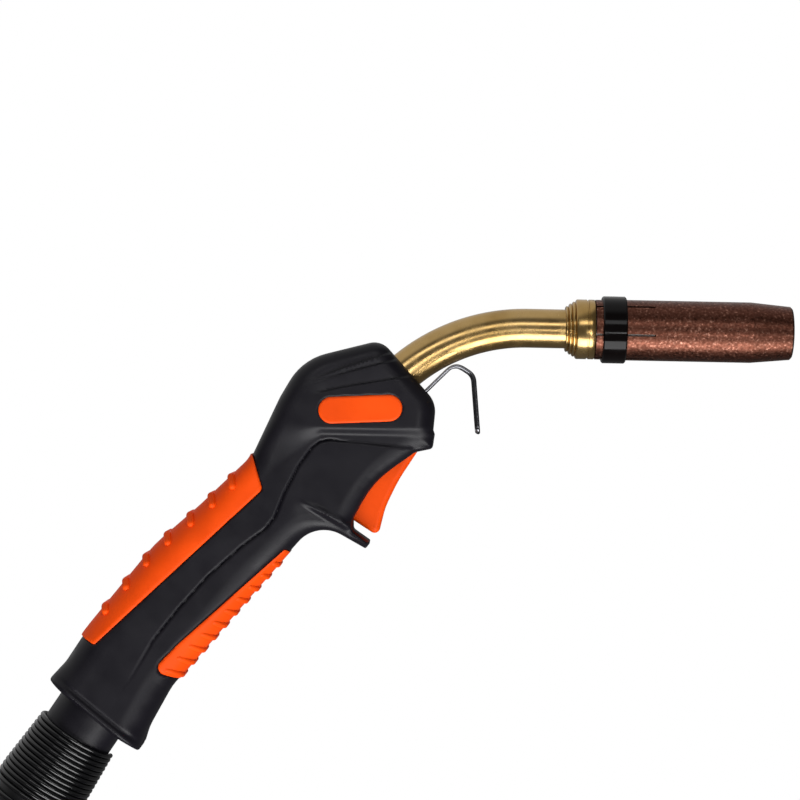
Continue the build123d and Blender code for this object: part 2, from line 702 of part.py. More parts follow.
def plug_screws():
    screws = []
    for x in PLUG_SCREW_X:
        shank = rod((x, PLUG_Y, PLUG_R + 8.5), (x, PLUG_Y, 2 * PLUG_R - 4), SCREW_R)
        head = rod((x, PLUG_Y, 2 * PLUG_R - 4), (x, PLUG_Y, 2 * PLUG_R - 1.8), SCREW_HEAD_R)
        screws.append(shank + head)
    return screws


def write(name, shape):
    solids = shape if isinstance(shape, list) else [shape]
    whole = [solid for item in solids for solid in item.solids()]
    export_step(whole[0] if len(whole) == 1 else Compound(whole), f"parts/{name}.step")


def main():
    os.makedirs("parts", exist_ok=True)
    outer = handle_body(0)
    recess = handle_body(INSERT_DEPTH)
    lower_shell, upper_shell = handle_shells(outer, recess, handle_body(CAVITY_INSET))
    write("handle_shell_right", lower_shell)
    write("handle_shell_left", upper_shell)
    write("top_grip_insert", top_grip_insert(outer, recess))
    write("lower_grip_insert", lower_grip_insert(outer, recess))
    ties = coil_ties()
    write("coil_ties", ties)
    write("cable_coil", cable_coil(ties))
    makers = (
        gas_nozzle, nozzle_clamp_ring, neck_collar, nozzle_insulator, gas_diffuser, tip_holder, contact_tip,
        swan_neck, neck_insulation, neck_core_tube, wire_liner, neck_lock_ring, cable_connector, inner_cable,
        crimp_ferrule, badge_left, badge_right, hanging_hook, switch_body, switch_plunger, switch_terminals,
        control_wires, handle_screws, trigger, trigger_pin, trigger_spring, swivel_sleeve, guard_spring,
        cable_boot, cable_strand, cable_lead, cable_tail, plug_boot, plug_housing, plug_body, plug_nut,
        plug_pin, plug_liner_nut, plug_o_ring, plug_contacts, plug_screws,
    )
    for make in makers:
        write(make.__name__, make())


main()
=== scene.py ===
import json
import math

import bmesh
import bpy
import numpy as np
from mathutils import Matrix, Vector


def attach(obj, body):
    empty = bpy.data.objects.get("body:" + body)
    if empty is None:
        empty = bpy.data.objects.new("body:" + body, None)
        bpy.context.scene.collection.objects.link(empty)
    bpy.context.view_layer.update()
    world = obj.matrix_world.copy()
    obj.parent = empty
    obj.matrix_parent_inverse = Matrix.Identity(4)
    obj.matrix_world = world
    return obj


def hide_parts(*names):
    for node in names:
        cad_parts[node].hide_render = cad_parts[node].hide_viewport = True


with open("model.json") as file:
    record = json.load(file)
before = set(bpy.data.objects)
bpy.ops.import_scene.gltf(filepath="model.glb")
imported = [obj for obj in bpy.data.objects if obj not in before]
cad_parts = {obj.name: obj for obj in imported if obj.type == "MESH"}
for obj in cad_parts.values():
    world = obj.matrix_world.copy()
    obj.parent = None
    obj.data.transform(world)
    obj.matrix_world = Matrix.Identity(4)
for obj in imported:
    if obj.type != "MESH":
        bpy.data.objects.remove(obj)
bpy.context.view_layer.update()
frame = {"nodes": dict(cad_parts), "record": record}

# A MIG welding torch lying on its side. Shapes are worked out in millimetres in the frame's own
# axes and turned into metres when a mesh or curve is made.
MM = 0.001
MID_Z = 22.0  # height of the torch's middle plane
CELL = 0.6  # spacing of the moulded parts' surface points
WELD = 0.03  # points closer than this are one point
SHARP_FROM = math.radians(50)  # edges that turn more than this are shaded sharp

BALL = np.array((-110.0, -29.5))  # the swivel in the handle's rear
GRIP_ANGLE = math.radians(51.45)
GRIP_LINE = np.array((math.cos(GRIP_ANGLE), math.sin(GRIP_ANGLE)))
GUARD_ANGLE = math.radians(237.0)
GUARD_LINE = np.array((math.cos(GUARD_ANGLE), math.sin(GUARD_ANGLE)))
RIM_ANGLE = math.radians(231.9)
NECK_TAIL = np.array((21.7, 115.2))  # where the neck's straight tail leaves the bend
NECK_LINE = np.array((math.cos(math.radians(40.0)), math.sin(math.radians(40.0))))
SCREW_PLACES = ((26, 97), (-33, 95), (-27, 44), (-60, 8), (-84, -20), (-108, -4))

# Outlines are corners with their rounding: x, y, radius.
HANDLE_CORNERS = (
    (35.2, 100.0, 12), (9.4, 128.2, 9), (-26.5, 118.6, 27), (-36.4, 101.2, 30), (-49.5, 72.0, 14),
    (-72.0, 50.0, 80), (-92.5, 31.5, 60), (-124.0, -8.5, 90), (-132.6, -22.2, 14), (-139.9, -30.4, 3.4),
    (-97.7, -63.8, 3.4), (-94.6, -53.0, 25), (-84.5, -34.0, 30), (-54.3, 2.4, 80), (-18.4, 44.7, 15.7),
    (4.2, 32.5, 0.7), (6.3, 35.2, 0.6), (-1.7, 40.6, 2), (-1.9, 45.8, 8), (7.2, 63.2, 45), (26.0, 77.1, 2),
    (34.0, 78.9, 2.0), (34.9, 85.6, 0.6), (34.2, 87.4, 0.6),
)
REAR_CORNERS = 9  # place of the rear edge's first corner in the list above
TOP_INSERT_CORNERS = (
    (-118.8, -13.6, 1.2), (-43.3, 58.9, 3), (-48.2, 73.9, 0.8), (-80.0, 102.0, 1), (-160.0, 20.0, 1),
    (-138.0, -3.2, 1),
)
LOWER_PAD_CORNERS = (
    (-32.7, 31.5, 1), (-81.2, -13.3, 30), (-92.1, -24.8, 3.6), (-75.4, -30.8, 1), (-60.0, -40.0, 1),
    (-12.0, 18.0, 1),
)
TRIGGER_CORNERS = (
    (9.8, 37.9, 2.6), (12.9, 51.5, 30), (18.8, 64.2, 60), (27.2, 77.4, 0.8), (29.5, 85.0, 3),
    (25.0, 89.5, 3), (18.5, 86.0, 3), (14.0, 72.7, 4), (-8.5, 51.7, 1), (-2.0, 45.3, 1),
)
TRIGGER_WINDOW = (
    (-9, 50, 1), (-2.4, 43.5, 1), (12, 35, 1), (36, 70, 1), (28.9, 76, 1), (29.5, 90, 1), (15, 90, 1),
    (-12, 64, 1),
)

# Crease lines on the handle's sides.
CAP_EDGE = ((-60, 68), (-40, 79), (-26, 83.6), (-17, 86.1), (30, 86.2), (42, 86.4))
PANEL_EDGE = (
    (42, 78.6), (20, 79.2), (-13, 82.2), (-17.5, 81.2), (-21, 78.4), (-27.1, 69.8), (-32.9, 58.1),
    (-37.2, 46.6), (-41.2, 41.2), (-52.3, 32.7), (-67.3, 18.9), (-80.8, 3.4), (-91.7, -10.7),
    (-103.3, -31.3),
)
BROW_UPPER = ((-33, 105.6), (-8, 115.2), (13.8, 122.6))
BROW_LOWER = ((-31, 105.2), (-8, 112.6), (16.4, 119.6))
BROW_PANEL = ((-22.8, 103.0), (-8, 106.4), (22.0, 112.0))
GUARD_RIDGE = ((-28.5, 55.4), (-16.2, 49.5), (-2.6, 42.2), (4.8, 35.2))


# --- the plane's shapes ---
def unit(vector):
    return vector / np.linalg.norm(vector)


def rounded(corners):
    """Points of a closed outline with each corner turned into an arc."""
    points = []
    for number, (x, y, radius) in enumerate(corners):
        here = np.array((x, y), float)
        to_before = unit(np.array(corners[number - 1][:2], float) - here)
        to_after = unit(np.array(corners[(number + 1) % len(corners)][:2], float) - here)
        half = math.acos(float(to_before @ to_after)) / 2
        centre = here + unit(to_before + to_after) * radius / math.sin(half)
        start = here + to_before * radius / math.tan(half) - centre
        end = here + to_after * radius / math.tan(half) - centre
        first = math.atan2(start[1], start[0])
        turn = (math.atan2(end[1], end[0]) - first + math.pi) % math.tau - math.pi
        steps = max(2, math.ceil(abs(turn) / math.radians(7)))
        for step in range(steps + 1):
            angle = first + turn * step / steps
            points.append(centre + radius * np.array((math.cos(angle), math.sin(angle))))
    return np.array(points)


def nearest_on_line(points, line, closed=False):
    """Nearest place on a polyline: distance, that place, its share of the line's length, and which
    side of the line the point is on, 1 for the left."""
    line = np.array(line, float)
    ends = np.roll(line, -1, axis=0) if closed else line[1:]
    starts = line if closed else line[:-1]
    lengths = np.linalg.norm(ends - starts, axis=1)
    best = np.full(len(points), 1e9)
    foot = np.zeros_like(points)
    share = np.zeros(len(points))
    side = np.zeros(len(points))
    travelled = 0.0
    for start, end, length in zip(starts, ends, lengths):
        run = (end - start) / length
        away = points - start
        t = np.clip(away @ run, 0, length)
        near = start + t[:, None] * run
        gap = np.linalg.norm(points - near, axis=1)
        cross = run[0] * away[:, 1] - run[1] * away[:, 0]
        closer = gap < best - 1e-9
        best = np.where(closer, gap, best)
        foot = np.where(closer[:, None], near, foot)
        share = np.where(closer, (travelled + t) / lengths.sum(), share)
        side = np.where(closer, np.where(cross >= 0, 1.0, -1.0), side)
        travelled += length
    return best, foot, share, side


def inside(points, outline):
    """Which points are inside a closed outline."""
    x, y = points[:, 0], points[:, 1]
    result = np.zeros(len(points), bool)
    for (ax, ay), (bx, by) in zip(outline, np.roll(outline, -1, axis=0)):
        if ay != by:
            crosses = (ay > y) != (by > y)
            result ^= crosses & (x < (bx - ax) * (y - ay) / (by - ay) + ax)
    return result


def depth(points, outline):
    """Distance to the outline, positive inside, and the nearest place on it."""
    gap, foot, _, _ = nearest_on_line(points, outline, closed=True)
    return np.where(inside(points, outline), gap, -gap), foot


def from_line(points, line):
    """Signed distance from a polyline, positive on its left, and the share along it."""
    gap, _, share, side = nearest_on_line(points, line)
    return gap * side, share


def ramp(value):
    """A smooth rise from 0 to 1."""
    value = np.clip(value, 0, 1)
    return value * value * (3 - 2 * value)


def along_grip(points):
    """Distance from the swivel's centre along the grip."""
    return (points - BALL) @ GRIP_LINE


HANDLE = rounded(HANDLE_CORNERS)
RIM_LINE = np.array((math.cos(RIM_ANGLE), math.sin(RIM_ANGLE)))
REAR_EDGE = np.array([corner[:2] for corner in HANDLE_CORNERS[REAR_CORNERS:REAR_CORNERS + 2]], float)
# The outline with its flared end carried on past the rear edge, so that only the sides round off.
FAR_REAR_CORNERS = ((-154.0, -46.2, 3), (-105.4, -85.0, 3))
SIDES = rounded(HANDLE_CORNERS[:REAR_CORNERS] + FAR_REAR_CORNERS + HANDLE_CORNERS[REAR_CORNERS + 2:])
TOP_INSERT = rounded(TOP_INSERT_CORNERS)
LOWER_PAD = rounded(LOWER_PAD_CORNERS)
TRIGGER = rounded(TRIGGER_CORNERS)
WINDOW = rounded(TRIGGER_WINDOW)

BADGE_CENTRE = np.array((0.6, 96.4))
BADGE_TURN = math.radians(3.3)
BADGE_LENGTH = 38.2
BADGE_WIDTH = 12.2
BADGE_BACK = 20.9  # heights of its back and of its side's top edge
BADGE_SIDE = 21.75
BADGE_EDGE = 0.8  # width of its rounded edge
TRIGGER_WALL = 5.8  # half-height of the trigger's upright edge, and its rounding
TRIGGER_ROUNDING = 2.2


def badge_depth(points):
    """Distance inside the badge's pill outline."""
    reach = (BADGE_LENGTH - BADGE_WIDTH) / 2
    run = np.array((math.cos(BADGE_TURN), math.sin(BADGE_TURN)))
    ends = (BADGE_CENTRE - run * reach, BADGE_CENTRE + run * reach)
    gap, _, _, _ = nearest_on_line(points, ends)
    return BADGE_WIDTH / 2 - gap


# --- the handle's surface, as heights above its middle plane ---
CREASE = 0.65  # width of a sharp step in the side
HEAD_HEIGHT = 22.0  # half the head's thickness
REAR_ROUNDING = 2.5
LIP_AT = 1.9  # the rear lip's crest and the groove before it, from the rear edge
LIP_GROOVE_AT = 4.2


def edge_radius(points):
    """How far the side's rounding reaches in from the outline: large on the grip, small on the head."""
    return np.interp(along_grip(points), (80, 125), (13.0, 8.5))


def wall_height(points):
    """Half-height of the upright part of the handle's edge."""
    return np.interp(along_grip(points), (-20, 0, 80, 122), (8.0, 5.5, 5.5, 13.0))


def side_height(points):
    """The side's height before its edge is rounded."""
    along = along_grip(points)
    height = np.interp(along, (-24, -10, 16, 50, 85, 105, 130), (21.8, 20.6, 18.7, 18.2, 18.6, 19.2, 19.4))
    above_cap, _ = from_line(points, CAP_EDGE)
    cap_width = np.interp(points[:, 0], (-60, -45, -17, 12, 30), (36.0, 27.0, 4.0, 4.0, 5.5))
    rise = ramp(above_cap / cap_width + 0.5) * np.clip(along / 60 - 0.5, 0, 1)
    height = height + (HEAD_HEIGHT - height) * rise
    below_panel, share = from_line(points, PANEL_EDGE)
    step = np.interp(share, (0, 0.16, 0.24, 0.4, 1), (1.1, 1.1, 0.6, 0.15, 0.05))
    beyond = np.exp(-np.maximum(-below_panel, 0) / 5)
    height = height - step * ramp(0.5 - below_panel / 1.3) * beyond
    groove = np.interp(share, (0, 0.2, 0.28, 0.85, 1), (0, 0, 1.1, 1.1, 0))
    height = height - groove * np.clip(1 - np.abs(below_panel) / (1.3 * CELL), 0, 1)
    rear = rear_gap(points)
    lip = 0.9 * np.exp(-(((rear - LIP_AT) / 1.1) ** 2))
    lip -= 0.6 * np.exp(-(((rear - LIP_GROOVE_AT) / 0.9) ** 2))
    return height + lip + brow_relief(points) + guard_relief(points)


def rear_gap(points):
    """Distance in from the handle's rear edge."""
    return (REAR_EDGE[0] - points) @ RIM_LINE


def brow_relief(points):
    """Three shallow steps up towards the badge, opening towards the head's front."""
    relief = np.zeros(len(points))
    for line, drop, reach in ((BROW_UPPER, 1.3, 10), (BROW_LOWER, 1.0, 4), (BROW_PANEL, 0.9, 6)):
        left, share = from_line(points, line)
        fade = ramp(share * 5) if line is BROW_PANEL else ramp(share * 1.5)
        relief -= drop * fade * ramp(left / CREASE + 1) * np.exp(-np.maximum(left, 0) / reach)
    return relief


def guard_relief(points):
    """The finger guard runs up the side as a low fin, with a hollow below it."""
    left, share = from_line(points, GUARD_RIDGE)
    fade = ramp(share * 2.4)
    fin = 1.2 * fade * np.exp(-((left / 1.4) ** 2))
    hollow = 3.0 * fade * ramp(-left / 3.0) * np.exp(-np.maximum(-left, 0) / 9)
    return fin - hollow


THIN_PLACES = (((1.5, 37.0), 9.0), ((31.0, 80.5), 4.0))  # too thin for points to be drawn to one side


def spread(points, proud):
    """Moves points towards the handle's edge so that they lie evenly round its rounding."""
    gap, foot = depth(points, SIDES)
    radius = edge_radius(points)
    full = gap + proud
    wanted = radius * (1 - np.cos(np.clip(full / radius, 0, 1) * math.pi / 2))
    away = foot - points
    length = np.linalg.norm(away, axis=1)
    ready = (full > 1e-6) & (full < radius) & (length > 1e-6)
    share = np.where(ready, (full - wanted) / np.maximum(length, 1e-6), 0)
    for centre, calm in THIN_PLACES:
        share = share * np.clip(np.linalg.norm(points - np.array(centre), axis=1) / calm - 1, 0, 1)
    return points + away * (share * np.sign(gap))[:, None]


def height_at(points, proud=0.0):
    """Height of the handle's outside over its middle plane, stood off by a little if asked."""
    gap, _ = depth(points, SIDES)
    wall = wall_height(points)
    turn = np.arccos(1 - np.clip((gap + proud) / edge_radius(points), 0, 1))
    height = wall + (side_height(points) - wall) * np.sin(turn)
    end = np.clip(rear_gap(points) / REAR_ROUNDING, 0, 1)
    return height - REAR_ROUNDING * (1 - np.sqrt(1 - (1 - end) ** 2))


def in_inserts(points, margin):
    """Distance inside either insert's outline, with a margin added."""
    top, _ = depth(points, TOP_INSERT)
    low, _ = depth(points, LOWER_PAD)
    return np.maximum(top, low) + margin


# --- meshes ---
def field_polygons(region, low, high):
    """Polygons over the part of the plane where region is positive, on a square grid."""
    columns = int((high[0] - low[0]) / CELL) + 2
    rows = int((high[1] - low[1]) / CELL) + 2
    grid_x, grid_y = np.meshgrid(low[0] + np.arange(columns) * CELL, low[1] + np.arange(rows) * CELL)
    grid = np.column_stack((grid_x.ravel(), grid_y.ravel()))
    value = region(grid)
    value = np.where(np.abs(value) < 1e-4, -1e-4, value)
    points, number_of = [], {}

    def corner(index):
        if index not in number_of:
            number_of[index] = len(points)
            points.append(grid[index])
        return number_of[index]

    def crossing(first, second):
        key = (min(first, second), max(first, second))
        if key not in number_of:
            number_of[key] = len(points)
            share = value[first] / (value[first] - value[second])
            points.append(grid[first] + (grid[second] - grid[first]) * share)
        return number_of[key]

    polygons = []
    positive = (value > 0).reshape(rows, columns)
    busy = positive[:-1, :-1] | positive[:-1, 1:] | positive[1:, :-1] | positive[1:, 1:]
    for row, column in zip(*np.nonzero(busy)):
        first = row * columns + column
        ring = (first, first + 1, first + columns + 1, first + columns)
        polygon = []
        for here, after in zip(ring, ring[1:] + ring[:1]):
            if value[here] > 0:
                polygon.append(corner(here))
            if (value[here] > 0) != (value[after] > 0):
                polygon.append(crossing(here, after))
        polygons.append(polygon)
    return np.array(points), polygons


def snap(points, lines):
    """Moves points near a crease onto it, so that the crease is one clean edge."""
    for line in lines:
        gap, foot, _, _ = nearest_on_line(points, line)
        near = gap < 0.42 * CELL
        points = np.where(near[:, None], foot, points)
    return points


def half_solid(region, surface, under, box, side=1, welded=False):
    """Closed mesh between two height fields on one side of the middle plane, or open along that plane
    if it will be welded to the other half."""
    points, polygons = field_polygons(region, *box)
    moved, top = surface(points)
    bottom = under(moved)
    top = np.maximum(top, bottom + 0.01)
    count = len(points)
    flat = np.vstack((moved, moved))
    heights = MID_Z + side * np.concatenate((top, bottom))
    mesh = bmesh.new()
    verts = [mesh.verts.new((x * MM, y * MM, z * MM)) for (x, y), z in zip(flat, heights)]
    edges = [edge for polygon in polygons for edge in zip(polygon, polygon[1:] + polygon[:1])]
    used = set(edges)
    for polygon in polygons:
        add_face(mesh, [verts[n] for n in polygon])
        if not (welded and all(bottom[n] <= 0 for n in polygon)):
            add_face(mesh, [verts[n + count] for n in reversed(polygon)])
    for here, after in edges:
        if (after, here) not in used:
            add_face(mesh, [verts[after], verts[here], verts[here + count], verts[after + count]])
    if side < 0:
        bmesh.ops.reverse_faces(mesh, faces=mesh.faces[:])
    return mesh


def add_face(mesh, corners):
    """Adds a face, unless it is a sliver or already there."""
    if len(set(corners)) == len(corners) and len(corners) > 2:
        try:
            mesh.faces.new(corners)
        except ValueError:
            pass


def finished(name, meshes, finish_name, body, replaced=()):
    """One object of one or more bmeshes, welded, shaded smooth and riding on its body."""
    joined = bmesh.new()
    for mesh in meshes:
        part = bpy.data.meshes.new("part")
        mesh.to_mesh(part)
        mesh.free()
        joined.from_mesh(part)
        bpy.data.meshes.remove(part)
    bmesh.ops.remove_doubles(joined, verts=joined.verts[:], dist=WELD * MM)
    bmesh.ops.dissolve_degenerate(joined, edges=joined.edges[:], dist=0.01 * MM)
    loose = [v for v in joined.verts if not v.link_faces]
    bmesh.ops.delete(joined, geom=loose, context="VERTS")
    data = bpy.data.meshes.new(name)
    joined.to_mesh(data)
    joined.free()
    for polygon in data.polygons:
        polygon.use_smooth = True
    data.set_sharp_from_angle(angle=SHARP_FROM)
    piece = bpy.data.objects.new(name, data)
    return place(piece, finish_name, body, replaced)


def place(piece, finish_name, body, replaced=()):
    bpy.context.scene.collection.objects.link(piece)
    piece.data.materials.append(FINISHES[finish_name])
    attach(piece, body)
    if replaced:
        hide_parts(*replaced)
    return piece


def tube_mesh(path, radii, sides=12, bore=0.0):
    """Closed tube along points in millimetres, hollow if it has a bore."""
    path = np.array(path, float)
    mesh = bmesh.new()
    layers = [[], []] if bore else [[]]
    tangents = np.gradient(path, axis=0)
    normal = np.array((0.0, 0.0, 1.0))
    if abs(unit(tangents[0]) @ normal) > 0.9:
        normal = np.array((1.0, 0.0, 0.0))
    for point, tangent, radius in zip(path, tangents, radii):
        tangent = unit(tangent)
        normal = unit(normal - tangent * (normal @ tangent))
        across = np.cross(tangent, normal)
        for layer, size in zip(layers, (radius, bore)):
            angles = [math.tau * number / sides for number in range(sides)]
            ring = [point + size * (math.cos(a) * normal + math.sin(a) * across) for a in angles]
            layer.append([mesh.verts.new(Vector(at) * MM) for at in ring])
    for layer in layers:
        for first, second in zip(layer, layer[1:]):
            for number in range(sides):
                after = (number + 1) % sides
                mesh.faces.new((first[number], first[after], second[after], second[number]))
    for end in (0, -1):
        if bore:
            for number in range(sides):
                after = (number + 1) % sides
                outer, inner = layers[0][end], layers[1][end]
                mesh.faces.new((outer[number], outer[after], inner[after], inner[number]))
        else:
            mesh.faces.new(layers[0][end])
    bmesh.ops.recalc_face_normals(mesh, faces=mesh.faces[:])
    return mesh


def bent_path(points, radii, steps=10):
    """A wire's centre line with each inner corner bent round."""
    points = [np.array(point, float) for point in points]
    path = [points[0]]
    for before, here, after, radius in zip(points, points[1:], points[2:], radii):
        to_before, to_after = unit(before - here), unit(after - here)
        half = math.acos(float(np.clip(to_before @ to_after, -1, 1))) / 2
        shorter = min(np.linalg.norm(before - here), np.linalg.norm(after - here))
        reach = min(radius / math.tan(half), 0.49 * shorter)
        first, last = here + to_before * reach, here + to_after * reach
        for t in np.linspace(0, 1, steps):
            path.append(first * (1 - t) ** 2 + here * 2 * t * (1 - t) + last * t**2)
    path.append(points[-1])
    return path


def lathe_mesh(profile, origin, axis, sides=72):
    """Revolves (along, radius) points, in order round a closed section, about an axis in the plane."""
    mesh = bmesh.new()
    along = np.array((axis[0], axis[1], 0.0))
    across = np.array((-axis[1], axis[0], 0.0))
    up = np.array((0.0, 0.0, 1.0))
    base = np.array((origin[0], origin[1], MID_Z))
    rings = []
    for number in range(sides):
        angle = math.tau * number / sides
        out = math.cos(angle) * up + math.sin(angle) * across
        rings.append([mesh.verts.new(Vector(base + along * t + out * r) * MM) for t, r in profile])
    for number in range(sides):
        first, second = rings[number], rings[(number + 1) % sides]
        for here in range(len(profile)):
            after = (here + 1) % len(profile)
            mesh.faces.new((first[here], first[after], second[after], second[here]))
    bmesh.ops.recalc_face_normals(mesh, faces=mesh.faces[:])
    return mesh


# --- materials ---
def blank_material(name, color, roughness, metallic=0.0, specular=0.5):
    material = bpy.data.materials.new(name)
    material.use_nodes = True
    shader = material.node_tree.nodes["Principled BSDF"]
    shader.inputs["Base Color"].default_value = (*color, 1)
    shader.inputs["Roughness"].default_value = roughness
    shader.inputs["Metallic"].default_value = metallic
    shader.inputs["Specular IOR Level"].default_value = specular
    return material


def add_noise(material, scale, detail=2.0, stretch=(1, 1, 1), turn=0.0):
    """Object-space noise, stretched along an axis if asked. Returns its value socket."""
    tree = material.node_tree
    coordinates = tree.nodes.new("ShaderNodeTexCoord")
    mapping = tree.nodes.new("ShaderNodeMapping")
    mapping.inputs["Rotation"].default_value = (0, 0, turn)
    mapping.inputs["Scale"].default_value = stretch
    noise = tree.nodes.new("ShaderNodeTexNoise")
    noise.inputs["Scale"].default_value = scale
    noise.inputs["Detail"].default_value = detail
    tree.links.new(coordinates.outputs["Object"], mapping.inputs["Vector"])
    tree.links.new(mapping.outputs["Vector"], noise.inputs["Vector"])
    return noise.outputs["Fac"]


def add_bump(material, source, strength, distance_mm):
    """Bumps the shader's normal by a noise, on top of any bump before it."""
    tree = material.node_tree
    shader = tree.nodes["Principled BSDF"]
    bump = tree.nodes.new("ShaderNodeBump")
    bump.inputs["Strength"].default_value = strength
    bump.inputs["Distance"].default_value = distance_mm * MM
    tree.links.new(source, bump.inputs["Height"])
    before = shader.inputs["Normal"]
    if before.is_linked:
        tree.links.new(before.links[0].from_socket, bump.inputs["Normal"])
    tree.links.new(bump.outputs["Normal"], before)


def add_ramp(material, source, target, stops):
    """Drives a shader socket from a noise through a colour ramp: stops are (place, colour)."""
    tree = material.node_tree
    colours = tree.nodes.new("ShaderNodeValToRGB")
    elements = colours.color_ramp.elements
    while len(elements) < len(stops):
        elements.new(0.5)
    for element, (at, colour) in zip(elements, stops):
        element.position = at
        element.color = (*colour, 1)
    tree.links.new(source, colours.inputs["Fac"])
    tree.links.new(colours.outputs["Color"], tree.nodes["Principled BSDF"].inputs[target])


def grey(value):
    return (value, value, value)


def shade(color, factor):
    return tuple(min(1.0, value * factor) for value in color)


def moulded_plastic(name, color, roughness, specular=0.5, grain_mm=0.35, strength=0.25):
    """Moulded plastic: spark-eroded grain, faint handling marks in its gloss and colour."""
    material = blank_material(name, color, roughness, specular=specular)
    add_bump(material, add_noise(material, 1 / (grain_mm * MM), 3), strength, 0.04)
    marks = add_noise(material, 90, 6)
    add_ramp(material, marks, "Roughness", ((0.3, grey(roughness - 0.07)), (0.7, grey(roughness + 0.08))))
    stains = add_noise(material, 45, 4)
    add_ramp(material, stains, "Base Color", ((0.35, shade(color, 0.88)), (0.7, shade(color, 1.1))))
    return material


def brushed_brass(name):
    """Brass with fine draw lines round it and faint warm stains."""
    material = blank_material(name, (0.5, 0.33, 0.13), 0.3, metallic=1.0)
    lines = add_noise(material, 900, 3, (4.0, 0.25, 0.25), math.radians(-20))
    add_bump(material, lines, 0.05, 0.03)
    add_ramp(material, add_noise(material, 60, 6), "Base Color",
             ((0.3, (0.40, 0.25, 0.085)), (0.55, (0.50, 0.33, 0.13)), (0.8, (0.56, 0.38, 0.17))))
    add_ramp(material, add_noise(material, 140, 4), "Roughness", ((0.3, grey(0.18)), (0.7, grey(0.30))))
    return material


def dull_copper(name):
    """Copper that has been heated: dark mottled skin with small bright specks."""
    material = blank_material(name, (0.36, 0.12, 0.07), 0.35, metallic=1.0)
    mottle = add_noise(material, 900, 10)
    add_ramp(material, mottle, "Base Color",
             ((0.34, (0.075, 0.026, 0.016)), (0.5, (0.11, 0.04, 0.026)), (0.6, (0.14, 0.057, 0.038)),
              (0.70, (0.32, 0.155, 0.11))))
    add_ramp(material, add_noise(material, 700, 6), "Roughness", ((0.3, grey(0.24)), (0.7, grey(0.5))))
    add_bump(material, add_noise(material, 2000, 4), 0.1, 0.04)
    return material


def plain_metal(name, color, roughness):
    """Bare metal with faint lines and uneven gloss."""
    material = blank_material(name, color, roughness, metallic=1.0)
    add_ramp(material, add_noise(material, 400, 4), "Roughness",
             ((0.3, grey(max(0.02, roughness - 0.05))), (0.7, grey(roughness + 0.06))))
    add_bump(material, add_noise(material, 1500, 2, (0.2, 1, 1)), 0.08, 0.02)
    return material


def rubber(name, color, roughness, grain_mm=0.5):
    """Dull rubber with a fine grain and uneven gloss."""
    material = blank_material(name, color, roughness, specular=0.35)
    add_bump(material, add_noise(material, 1 / (grain_mm * MM), 4), 0.3, 0.06)
    add_ramp(material, add_noise(material, 60, 5), "Roughness",
             ((0.3, grey(roughness - 0.08)), (0.7, grey(roughness + 0.08))))
    return material


def woven_band(name):
    """Black hook-and-loop tape: crossing threads under a short nap."""
    material = blank_material(name, (0.025, 0.025, 0.028), 0.85, specular=0.2)
    tree = material.node_tree
    coordinates = tree.nodes.new("ShaderNodeTexCoord")
    for direction in ("X", "Y"):
        threads = tree.nodes.new("ShaderNodeTexWave")
        threads.bands_direction = direction
        threads.inputs["Scale"].default_value = 550
        tree.links.new(coordinates.outputs["Object"], threads.inputs["Vector"])
        add_bump(material, threads.outputs["Fac"], 0.35, 0.2)
    add_bump(material, add_noise(material, 2500, 3), 0.5, 0.15)
    return material


def make_finishes():
    return {
        "black_plastic": moulded_plastic("black_plastic", (0.0060, 0.0052, 0.0085), 0.42, 0.25),
        "orange_soft": moulded_plastic("orange_soft", (0.95, 0.078, 0.002), 0.5, 0.12, 0.5, 0.2),
        "orange_plastic": moulded_plastic("orange_plastic", (0.96, 0.08, 0.002), 0.42, 0.14, 0.8, 0.1),
        "brass": brushed_brass("brass"),
        "copper": dull_copper("copper"),
        "copper_strand": plain_metal("copper_strand", (0.75, 0.33, 0.2), 0.25),
        "gloss_black": moulded_plastic("gloss_black", (0.003, 0.002, 0.002), 0.10, 0.14, 1.5, 0.02),
        "spring_black": blank_material("spring_black", (0.0035, 0.0035, 0.004), 0.14, specular=0.5),
        "steel_wire": plain_metal("steel_wire", (0.2, 0.2, 0.215), 0.16),
        "steel": plain_metal("steel", (0.5, 0.5, 0.52), 0.3),
        "rubber_black": rubber("rubber_black", (0.009, 0.009, 0.01), 0.45),
        "cable_rubber": rubber("cable_rubber", (0.012, 0.012, 0.013), 0.5),
        "strap": woven_band("strap"),
        "white_ceramic": moulded_plastic("white_ceramic", (0.78, 0.76, 0.7), 0.3, 0.5, 0.6, 0.1),
        "red_insulation": moulded_plastic("red_insulation", (0.45, 0.03, 0.02), 0.5),
        "switch_grey": moulded_plastic("switch_grey", (0.06, 0.06, 0.065), 0.5),
    }


FINISHES = make_finishes()


def dress_cad_nodes():
    """Every CAD node that still shows gets its record slot's finish."""
    for subpart in frame["record"]["subparts"]:
        node = frame["nodes"][subpart["node"]]
        finish = FINISHES[subpart["material_slot"]]
        if not node.material_slots:
            node.data.materials.append(finish)
        for material_slot in node.material_slots:
            material_slot.material = finish


# --- handle ---
HANDLE_FIELD = ((-144.0, -70.0), (40.0, 132.0))
NECK_HOLE_R = 9.1
MOUTH_R = 18.4
WINDOW_HALF = 8.7
WALL = 3.0  # the shells' thickness at the edge and at the sides
SIDE_WALL = 4.2
PARTING_GAP = 0.12
SCREW_WELL_R = 3.2
INSERT_BED = 1.3  # how far the shells are let in under the inserts
BADGE_BED = 0.6


